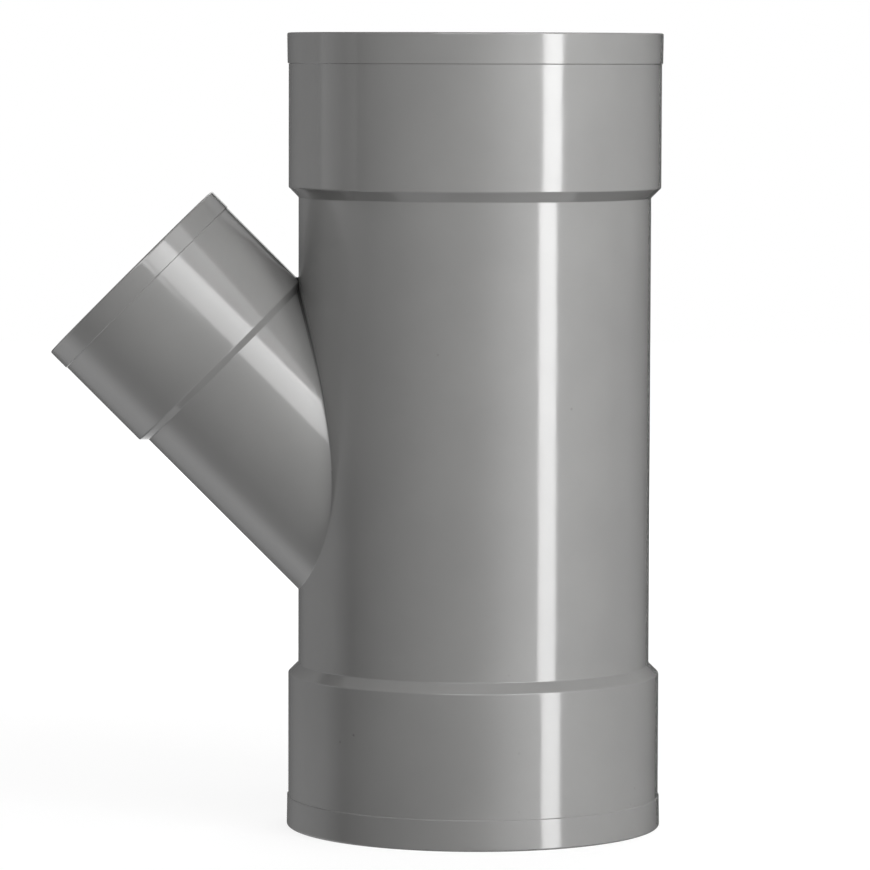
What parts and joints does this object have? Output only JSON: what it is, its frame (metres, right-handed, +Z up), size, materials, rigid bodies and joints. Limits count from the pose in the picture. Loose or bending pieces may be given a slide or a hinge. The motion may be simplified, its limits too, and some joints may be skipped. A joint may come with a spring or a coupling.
{
  "type": "lateral wye fitting",
  "caption": "Lateral wye fitting for drain pipe: a straight round run with a cement socket at each end and a smaller socketed branch that leaves its side at 45 degrees.",
  "frame": {"origin": "centre of the lower socket's mouth, on the run's axis", "axes": "+Z up the run's axis from the lower socket to the upper one; the branch leans out towards -X and up at 45 degrees, in the XZ plane"},
  "size_m": [0.2168, 0.1332, 0.282],
  "materials": {
    "grey_pvc": "smooth moulded rigid PVC in a neutral dusty grey, semi-gloss to glossy"
  },
  "bodies": {
    "root": {"wye_body": "grey_pvc"}
  },
  "joints": []
}
